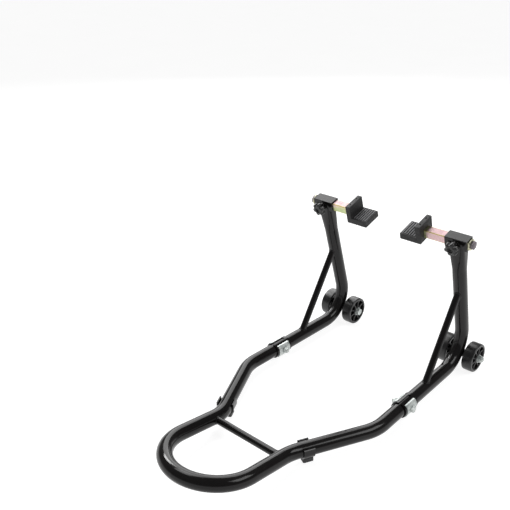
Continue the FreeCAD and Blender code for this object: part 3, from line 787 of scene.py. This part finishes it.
def make_welds():
    dice = random.Random(WELD_SEED)
    crossbar = tube_end_loops("handle_crossbar", THIN_TUBE_LINE)
    weld("handle_crossbar_weld", crossbar, TUBE_BEAD, True, dice)
    for side in SIDES:
        brace = tube_end_loops(side + "_brace", THIN_TUBE_LINE)
        weld(side + "_brace_weld", brace, TUBE_BEAD, True, dice)
        sleeve = tube_end_loops(side + "_axle_sleeve", SLEEVE_LINE)
        saddles = [line for line in sleeve if width_across(line) > SADDLE_WIDTH]
        weld(side + "_axle_sleeve_weld", saddles, TUBE_BEAD, True, dice)
    for side in SIDES:
        sleeve = sharp_loops(side + "_joint_sleeve")
        girths = [line for line in sleeve if abs(loop_length(line) - TUBE_GIRTH) < GIRTH_PLAY]
        towards_wheels = sorted(girths, key=mean_depth)[-1:]
        weld(side + "_sleeve_weld", towards_wheels, SLEEVE_BEAD, True, dice)
        head = HEADS[side]
        boss = [head(HEAD_X + BOSS_RADIUS * math.cos(a), -BOSS_FACE, BOSS_RADIUS * math.sin(a))
                for a in turns(BOSS_COUNT)]
        weld(side + "_boss_weld", [boss], BOSS_BEAD, True, dice)
        weld(side + "_receiver_weld", receiver_lips(head), LIP_BEAD, False, dice)


# ---------------------------------------------------------------- fasteners

SIXTH = math.pi / 3
HEX_COUNT = 72
# A hexagon's chamfer falls 30 degrees; its round face is a little smaller than its flats
CHAMFER_SLOPE = 0.577
WASHER_SHARE = 0.475
WASHER_RISE = 0.06
# A solid head's rings close on a speck of this radius
HEAD_HOLE = 0.0002
# Share of a lock nut's height that is hexagon, and its collar's radii in widths across flats
NUT_BODY = 0.68
COLLAR_FOOT = 0.46
COLLAR_TOP = 0.44
COLLAR_SUNK = 0.0006
COLLAR_LIP = 0.0007
COLLAR_CORNER = 0.0008
BOLT_PITCH = 0.00125
THREAD_COUNT = 48
# Mesh rings for each turn of a thread, and its depth in pitches
THREAD_LEVELS = 10
THREAD_DEPTH = 0.48
# Near its tip a thread fades from 1 to THREAD_TIP, and a fade to 0 would take this share of its radius
THREAD_TIP = 0.3
THREAD_TAPER = 0.06
# How far a bolt's thread reaches back into its nut, and its plain shank into its head
THREAD_SUNK = 0.002
SHANK_SUNK = 0.001

# The bolt and lock nut pairs, in metres. The bore is the nut's radius and the shank the bolt's; sides
# are those of the shank's mesh, and overlap is how far the thread's mesh reaches over the shank's.
BOLTS = {
    "axle": {"nut_outside": True, "across_flats": 0.016, "bore": 0.005, "shank": 0.00495,
             "head_height": 0.0064, "sides": 48, "overlap": 0.0002},
    "joint": {"nut_outside": False, "across_flats": 0.013, "bore": 0.004, "shank": 0.004,
              "head_height": 0.0053, "sides": 40, "overlap": 0.0},
}
ADAPTER_BOLT = {"across_flats": 0.017, "shank": 0.0049, "head_height": 0.0065, "sides": 48}


def from_flat(angle):
    """An angle's distance from the nearest of six evenly spaced directions."""
    return (angle + SIXTH / 2) % SIXTH - SIXTH / 2


def hex_radius(across_flats):
    """Distance to a hexagon's edge as a function of the angle."""
    return lambda angle: across_flats / 2 / math.cos(from_flat(angle))


def hex_rings(seat, along, across_flats, height, hole):
    """Rings of a hexagon head or nut: washer face, flats, chamfered top and a hole or flat centre."""
    outline = hex_radius(across_flats)
    washer = across_flats * WASHER_SHARE
    face = height * WASHER_RISE

    def ring(level, radius, drop):
        """A ring whose corners stand back from its level, or beyond it where drop is negative."""
        points = circle(seat + along * level, along, radius, HEX_COUNT)
        made = []
        for angle, point in zip(turns(HEX_COUNT), points):
            corner = max(0.0, outline(angle) - washer) * CHAMFER_SLOPE
            made.append(point - along * (drop * corner))
        return made

    return [ring(0.0, hole, 0), ring(0.0, washer, 0), ring(face, washer, 0), ring(face, outline, -1.0),
            ring(height, outline, 1.0), ring(height, washer, 0), ring(height, hole, 0)]


def threaded_rings(start, along, radius, pitch, length):
    """Rings of a bar with a helical thread, tapering at its tip."""
    levels = round(length / pitch * THREAD_LEVELS)

    def thread_ring(place):
        fade = min(1.0, THREAD_TIP + (length - place) / pitch)
        crest = radius * (1.0 - THREAD_TAPER * (1.0 - fade))

        def thread_radius(angle):
            phase = (place / pitch + angle / (2 * math.pi)) % 1.0
            tooth = 1.0 - abs(2.0 * phase - 1.0)
            return crest - THREAD_DEPTH * pitch * (1.0 - tooth)

        return circle(start + along * place, along, thread_radius, THREAD_COUNT)

    return [thread_ring(length * i / levels) for i in range(levels + 1)]


def lock_nut_lofts(along, seat, height, across_flats, bore):
    """A nut whose upper part is a round collar that holds a nylon ring."""
    body = height * NUT_BODY
    foot = body - COLLAR_SUNK
    outline = [(foot, bore), (foot, across_flats * COLLAR_FOOT), (height, across_flats * COLLAR_TOP),
               (height, bore + COLLAR_LIP), (height - COLLAR_LIP, bore)]
    collar = rounded(outline, COLLAR_CORNER)
    return [(hex_rings(seat, along, across_flats, body, bore), True),
            (lathe(seat, along, collar, HEX_COUNT), True)]


def make_bolt_and_nut(side, kind):
    """The bolt and the lock nut of a wheel axle or a tube joint, which lie along X."""
    size = BOLTS[kind]
    flats = size["across_flats"]
    shank = size["shank"]
    along = X_AXIS * (SIDES[side] if size["nut_outside"] else -SIDES[side])
    nut = side + "_" + kind + "_nut"
    bolt = side + "_" + kind + "_bolt"
    low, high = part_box(nut)
    height = high.x - low.x
    seat = (low + high) / 2
    seat.x = low.x if along.x > 0 else high.x
    mesh = lofts_to_mesh(nut, lock_nut_lofts(along, seat, height, flats, size["bore"]))
    piece(nut + "_detail", mesh, "bright_zinc", "frame", [nut])

    low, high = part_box(bolt)
    top, tip = (low.x, high.x) if along.x > 0 else (high.x, low.x)
    head_seat = seat.copy()
    head_seat.x = top + along.x * size["head_height"]
    thread_start = seat + along * (height - THREAD_SUNK)
    plain = [(-SHANK_SUNK, shank), (abs(thread_start.x - head_seat.x), shank)]
    thread_length = abs(tip - thread_start.x) + size["overlap"]
    thread_start -= along * size["overlap"]
    lofts = [(hex_rings(head_seat, -along, flats, size["head_height"], HEAD_HOLE), False),
             (lathe(head_seat, along, plain, size["sides"]), False),
             (threaded_rings(thread_start, along, shank, BOLT_PITCH, thread_length), False)]
    piece(bolt + "_detail", lofts_to_mesh(bolt, lofts), "bright_zinc", "frame", [bolt])


def make_adapter_bolt(side):
    """The long bolt that holds a rest on its adapter, its head on the outside."""
    size = ADAPTER_BOLT
    height = size["head_height"]
    along = X_AXIS * SIDES[side]
    low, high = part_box(side + "_adapter_bolt")
    start = (low + high) / 2
    seat = start.copy()
    start.x, top = (low.x, high.x) if along.x > 0 else (high.x, low.x)
    seat.x = top - along.x * height
    plain = [(0, size["shank"]), (abs(seat.x - start.x) + SHANK_SUNK, size["shank"])]
    lofts = [(hex_rings(seat, along, size["across_flats"], height, HEAD_HOLE), False),
             (lathe(start, along, plain, size["sides"]), False)]
    name = side + "_adapter_bolt_detail"
    piece(name, lofts_to_mesh(name, lofts), "bright_zinc", side + "_adapter", [side + "_adapter_bolt"])


# ---------------------------------------------------------------- wheels

# Radii and half widths of the wheel
WHEEL_RADIUS = 0.035
WHEEL_HALF = 0.013
WHEEL_BORE = 0.0075
HUB_RADIUS = 0.0115
HUB_HALF = 0.0125
RIM_RADIUS = 0.0285
WEB_HALF = 0.0025
SHOULDER = 0.0028
SHOULDER_STEPS = 6
CROWN = 0.0002
WHEEL_COUNT = 96
SPOKES = 8
SPOKE_FOOT = 0.0015
# Radius, height and width of a spoke from its root in the hub to its root in the rim
SPOKE_STATIONS = ((0.0095, 0.0116, 0.0036), (0.0122, 0.0112, 0.0034), (0.0200, 0.0095, 0.0028),
                  (0.0275, 0.0108, 0.0032), (0.0300, 0.0112, 0.0034))
# A spoke's section in shares of its width and height
SPOKE_SECTION = ((-0.5, 0.0), (-0.5, 0.94), (-0.32, 1.0), (0.32, 1.0), (0.5, 0.94), (0.5, 0.0))


def wheel_profile():
    """Closed section of the wheel: bore, hub, web, rim and a crowned tread with soft shoulders."""
    half = [(0.0, WHEEL_BORE), (HUB_HALF - 0.0005, WHEEL_BORE), (HUB_HALF, WHEEL_BORE + 0.0005),
            (HUB_HALF, HUB_RADIUS - 0.001), (HUB_HALF - 0.001, HUB_RADIUS),
            (WEB_HALF + 0.001, HUB_RADIUS + 0.0006), (WEB_HALF, HUB_RADIUS + 0.0018),
            (WEB_HALF, RIM_RADIUS - 0.0018), (WEB_HALF + 0.0012, RIM_RADIUS - 0.0004),
            (WHEEL_HALF - 0.001, RIM_RADIUS), (WHEEL_HALF - 0.0002, RIM_RADIUS + 0.0004),
            (WHEEL_HALF, RIM_RADIUS + 0.0012)]
    for i in range(SHOULDER_STEPS + 1):
        angle = math.pi / 2 * i / SHOULDER_STEPS
        half.append((WHEEL_HALF - SHOULDER * (1 - math.cos(angle)),
                     WHEEL_RADIUS - CROWN - SHOULDER * (1 - math.sin(angle))))
    half.append((WHEEL_HALF * 0.4, WHEEL_RADIUS))
    half.append((0.0, WHEEL_RADIUS))
    mirror = [(-place, radius) for place, radius in half[-2:0:-1]]
    return half + mirror


def spoke_rings(centre, angle, sign):
    """Rings of one tapered spoke on one face, from inside the hub to inside the rim."""
    out = Vector((0, math.cos(angle), math.sin(angle)))
    tangent = X_AXIS.cross(out)
    rings = []
    for radius, height, width in SPOKE_STATIONS:
        ring = []
        for across, up in SPOKE_SECTION:
            lift = SPOKE_FOOT + up * (height - SPOKE_FOOT)
            ring.append(centre + out * radius + tangent * (across * width) + X_AXIS * (sign * lift))
        rings.append(ring)
    return rings


def make_wheel(side, place):
    node = side + "_" + place
    centre = Vector(joint_of(node + "_spin")["pos_m"])
    rim = lofts_to_mesh(node, [(lathe(centre, X_AXIS, wheel_profile(), WHEEL_COUNT), True)])
    lofts = []
    for i in range(SPOKES):
        for sign in (-1, 1):
            lofts.append((spoke_rings(centre, 2 * math.pi * (i + 0.5) / SPOKES, sign), False))
    mesh = joined(rim, lofts_to_mesh(node + "_spokes", lofts))
    soften(mesh)
    piece(node + "_detail", mesh, "wheel_plastic", node + "_body", [node])


# ---------------------------------------------------------------- knobs and rests

# Places along the stud's axis in millimetres from the head, radii in metres
KNOB_BACK = -23.0
STUD_END = -9.9
STUD_RADIUS = 0.0049
STUD_PITCH = 0.0015
STUD_LENGTH = 0.0185
KNOB_HUB = 0.0112
LOBE_RADIUS = 0.0044
LOBE_AT = 0.0116
SOCKET_FLATS = 0.0066
KNOB_COUNT = 120
INSERT_COUNT = 72
# Level, scale and lobe share of the knob's outline from its back to its front
KNOB_LAYERS = ((0.0, 0.80, 0.6), (0.0006, 0.90, 0.85), (0.0016, 0.965, 0.95), (0.0034, 1.0, 1.0),
               (0.0088, 1.0, 1.0), (0.0106, 0.965, 0.95), (0.0118, 0.90, 0.85), (0.0126, 0.80, 0.6),
               (0.0130, 0.68, 0.2))
# Level and radius of the round dish in the knob's front
KNOB_DISH = ((0.0128, 0.0066), (0.0118, 0.0058), (0.0104, 0.0052), (0.0100, 0.0044))
# Distance from a rest's middle along its ribs in millimetres, and the share of a rib's height there
RIB_ENDS = ((22.0, 0.0), (21.7, 0.5), (21.2, 0.85), (20.4, 1.0))
RIB_STEPS = 8
# Half of a rib's foot, in rib widths
RIB_FOOT = 0.62
ARC_STEPS = 5
PAD_SHARP_DEGREES = 45.0
PIT_Y = 12.0
PIT_DEEP = 6.0
PIT_COUNT = 24
# Level and radius of a pit, in metres, up to a little over the rest's top
PIT_PROFILE = ((0.0, 0.0018), (0.0075, 0.002))


def knob_outline(scale, lobes):
    """Star outline with six round lobes; lobes runs from 0, a circle, to 1."""

    def radius(angle):
        turn = from_flat(angle + SIXTH / 2)
        side = LOBE_AT * math.sin(abs(turn))
        reach = LOBE_AT * math.cos(turn) + math.sqrt(max(LOBE_RADIUS ** 2 - side ** 2, 0.0))
        star = max(reach if side < LOBE_RADIUS else 0.0, KNOB_HUB)
        return scale * (KNOB_HUB + (star - KNOB_HUB) * lobes)

    return radius


def make_knob(side):
    """The lobed knob, its hexagon socket insert and its threaded stud."""
    head = HEADS[side]
    along = -head.y
    back = head(HEAD_X, KNOB_BACK, 0)
    body = side + "_knob_body"
    layers = [(level, knob_outline(scale, lobes)) for level, scale, lobes in KNOB_LAYERS]
    rings = lathe(back, along, layers + list(KNOB_DISH), KNOB_COUNT)
    name = side + "_knob_detail"
    piece(name, lofts_to_mesh(name, [(rings, False)]), "knob_plastic", body, [side + "_knob"])

    socket = hex_radius(SOCKET_FLATS)
    insert = [(0.0098, 0.0043), (0.0108, 0.0043), (0.0112, 0.0038), (0.0112, socket),
              (0.0100, lambda angle: socket(angle) * 0.97)]
    name = side + "_knob_insert"
    mesh = lofts_to_mesh(name, [(lathe(back, along, insert, INSERT_COUNT), False)])
    piece(name, mesh, "knob_plastic", body)

    rod = threaded_rings(head(HEAD_X, STUD_END, 0), along, STUD_RADIUS, STUD_PITCH, STUD_LENGTH)
    name = side + "_stud_detail"
    mesh = lofts_to_mesh(name, [(rod, False)])
    piece(name, mesh, "bright_zinc", side + "_stud", [side + "_knob_stud"])


def arc(x, z, radius, start, end):
    """Points of an arc around a centre, between angles in degrees."""
    angles = [math.radians(start + (end - start) * i / ARC_STEPS) for i in range(ARC_STEPS + 1)]
    return [(x + radius * math.cos(angle), z + radius * math.sin(angle)) for angle in angles]


def pad_section(inset, rib_lift):
    """Outline of the rest across the stand, in millimetres, with rounded corners and a ribbed shelf."""
    corner = PAD_CORNER
    x0 = PAD_X0 + inset + corner
    x1 = PAD_X1 - inset - corner
    z0 = PAD_BOTTOM + inset + corner
    z1 = PAD_TOP - inset - corner
    shelf_top = SHELF_TOP - inset
    plate_face = PLATE_FACE + inset
    line = arc(x1, z0, corner, -90, 0)
    line += arc(x1, z1, corner, 0, 90)
    line += arc(plate_face + corner, z1, corner, 90, 180)
    line += arc(plate_face - corner, shelf_top + corner, corner, 0, -90)
    pitch = (PLATE_FACE - PAD_X0 - 2 * PAD_RIB_WIDTH) / PAD_RIBS
    first_rib = PAD_X0 + PAD_RIB_MARGIN + PAD_RIB_WIDTH * 1.5
    for i in range(PAD_RIBS - 1, -1, -1):
        middle = first_rib + pitch * i
        for step in range(RIB_STEPS + 1):
            across = 1.0 - 2.0 * step / RIB_STEPS
            lift = PAD_RIB_HEIGHT * rib_lift * max(0.0, 1.0 - across * across) ** 0.5
            line.append((middle + across * PAD_RIB_WIDTH * RIB_FOOT, shelf_top + lift))
    line += arc(x0, shelf_top - corner, corner, 90, 180)
    line += arc(x0, z0, corner, 180, 270)
    return line


def make_pad(side):
    """The rubber rest: ribs that end short of its rounded ends, and two pits in its top edge."""
    head = HEADS[side]
    edge = PAD_END_EDGE
    outer = [(PAD_HALF_Y - edge + edge * math.sin(t), edge * (1 - math.cos(t)))
             for t in (math.pi / 2 * i / ARC_STEPS for i in range(ARC_STEPS + 1))]
    levels = [(-y, inset, 0.0) for y, inset in reversed(outer)]
    levels += [(-y, 0.0, lift) for y, lift in RIB_ENDS]
    levels += [(y, 0.0, lift) for y, lift in reversed(RIB_ENDS)]
    levels += [(y, inset, 0.0) for y, inset in outer]
    rings = [[head(x, y, z) for x, z in pad_section(inset, lift)] for y, inset, lift in levels]
    body = lofts_to_mesh(side + "_pad", [(rings, False)])
    pits = []
    for y in (-PIT_Y, PIT_Y):
        start = head(PAD_X1 - PLATE_THICK / 2, y, PAD_TOP - PIT_DEEP)
        pits.append((lathe(start, head.z, PIT_PROFILE, PIT_COUNT), False))
    mesh = joined(body, lofts_to_mesh("pits", pits), "DIFFERENCE")
    soften(mesh, PAD_SHARP_DEGREES)
    piece(side + "_pad_detail", mesh, "pad_rubber", side + "_adapter", [side + "_pad"])


# ---------------------------------------------------------------- build


def make_floor():
    mesh = bpy.data.meshes.new("floor")
    corners = [(x * FLOOR_REACH, y * FLOOR_REACH, 0) for x, y in ((-1, -1), (1, -1), (1, 1), (-1, 1))]
    mesh.from_pydata(corners, [], [(0, 1, 2, 3)])
    mesh.materials.append(floor_paper())
    floor = link(bpy.data.objects.new("floor", mesh))
    floor.location.z = cad_box[0].z - FLOOR_GAP


def main():
    make_camera()
    make_world()
    make_lights()
    make_floor()
    paint_nodes()
    make_welds()
    for side in SIDES:
        make_bolt_and_nut(side, "axle")
        make_bolt_and_nut(side, "joint")
        make_adapter_bolt(side)
        make_knob(side)
        make_pad(side)
        for place in ("outer_wheel", "inner_wheel"):
            make_wheel(side, place)


main()
